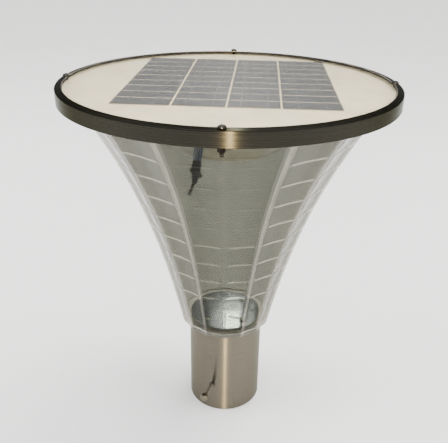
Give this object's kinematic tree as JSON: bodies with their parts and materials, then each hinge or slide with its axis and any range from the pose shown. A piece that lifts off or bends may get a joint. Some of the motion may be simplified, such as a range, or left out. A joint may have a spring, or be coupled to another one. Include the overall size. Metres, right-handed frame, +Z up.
{
  "type": "solar garden light",
  "caption": "Post-top solar garden light: round solar panel in a steel rim over a flared faceted clear shade on a brushed tube sleeve with clamp bolts.",
  "frame": {"origin": "centre of the mounting sleeve's lower end", "axes": "+Z up the sleeve's axis towards the panel, -Y through the front ridge of the shade and a rim screw"},
  "size_m": [0.37, 0.37, 0.4315],
  "materials": {
    "brushed_sleeve": "vertical-lit brushed stainless with fine horizontal grain",
    "brushed_rim": "brushed stainless with grain round the band",
    "polished_plate": "polished stainless",
    "fastener": "plain stainless",
    "clamp_bolt": "dull stainless with rolled thread",
    "chrome_small": "nickel plate",
    "cast_aluminium": "sand-cast, turned edge",
    "clear_shade": "clear moulded acrylic, slightly green-grey",
    "panel_glass": "low-iron tempered glass",
    "solar_cell": "grey multicrystalline silicon with printed silver lines",
    "backsheet": "cream-white film",
    "seal": "black EPDM",
    "housing_plastic": "grey moulded plastic, fine texture",
    "frosted_lens": "frosted diffuser",
    "circuit_board": "green solder mask",
    "black_plastic": "black moulded plastic",
    "battery_wrap": "shrink sleeve",
    "lead_insulation": "insulated wire",
    "heat_shrink": "dark blue heat-shrink sleeve",
    "switch_body": "dark moulded body"
  },
  "bodies": {
    "light": {"mounting_sleeve": "brushed_sleeve", "sleeve_cap": "cast_aluminium", "bolt_insert_1": "fastener", "bolt_insert_2": "fastener", "floor_gasket": "seal", "shade": "clear_shade", "clamp_plate": "polished_plate", "rim_ring": "brushed_rim", "rim_gasket": "seal", "flange_gasket": "seal", "panel_glass": "panel_glass", "panel_backsheet": "backsheet", "junction_box": "black_plastic", "panel_lead": "lead_insulation", "housing_body": "housing_plastic", "housing_cover": "housing_plastic", "led_board": "circuit_board", "led_lens": "frosted_lens", "controller_board": "circuit_board", "battery_holder": "black_plastic", "lead_grommet": "seal", "lead_1": "lead_insulation", "lead_2": "lead_insulation", "plate_screw_1": "fastener", "plate_screw_2": "fastener", "plate_screw_3": "fastener", "plate_screw_4": "fastener", "rim_screw_1": "fastener", "rim_screw_2": "fastener", "rim_screw_3": "fastener", "rim_screw_4": "fastener", "rim_washer_1": "fastener", "rim_washer_2": "fastener", "rim_washer_3": "fastener", "rim_washer_4": "fastener", "rim_nut_1": "fastener", "rim_nut_2": "fastener", "rim_nut_3": "fastener", "rim_nut_4": "fastener", "cover_screw_1": "fastener", "cover_screw_2": "fastener", "cover_screw_3": "fastener", "cell_string_1": "solar_cell", "cell_string_2": "solar_cell", "cell_string_3": "solar_cell", "cell_string_4": "solar_cell", "battery_cell_1": "battery_wrap", "battery_cell_2": "battery_wrap", "battery_cell_3": "battery_wrap", "battery_cell_4": "battery_wrap"},
    "clamp_bolt_1": {"clamp_bolt_1": "clamp_bolt"},
    "clamp_bolt_2": {"clamp_bolt_2": "clamp_bolt"},
    "switch": {"heat_shrink_1": "heat_shrink", "heat_shrink_2": "heat_shrink", "switch_body": "switch_body", "switch_bushing": "chrome_small", "switch_washer": "fastener", "switch_nut": "chrome_small"},
    "lever": {"switch_lever": "chrome_small"}
  },
  "joints": [
    {"name": "clamp_bolt_1_travel", "type": "slide", "parent": "light", "child": "clamp_bolt_1", "axis": [0.3256, 0.9455, 0], "range_m": [0, 0.022]},
    {"name": "clamp_bolt_2_travel", "type": "slide", "parent": "light", "child": "clamp_bolt_2", "axis": [-0.3256, -0.9455, 0], "range_m": [0, 0.022]},
    {"name": "switch_swing", "type": "hinge", "parent": "light", "child": "switch", "pos_m": [-0.02685, -0.083, 0.37943], "axis": [1, 0, 0], "range_deg": [-8, 8]},
    {"name": "switch_throw", "type": "hinge", "parent": "switch", "child": "lever", "pos_m": [-0.03105, -0.083, 0.34368], "axis": [0, -1, 0], "range_deg": [0, 26]}
  ]
}
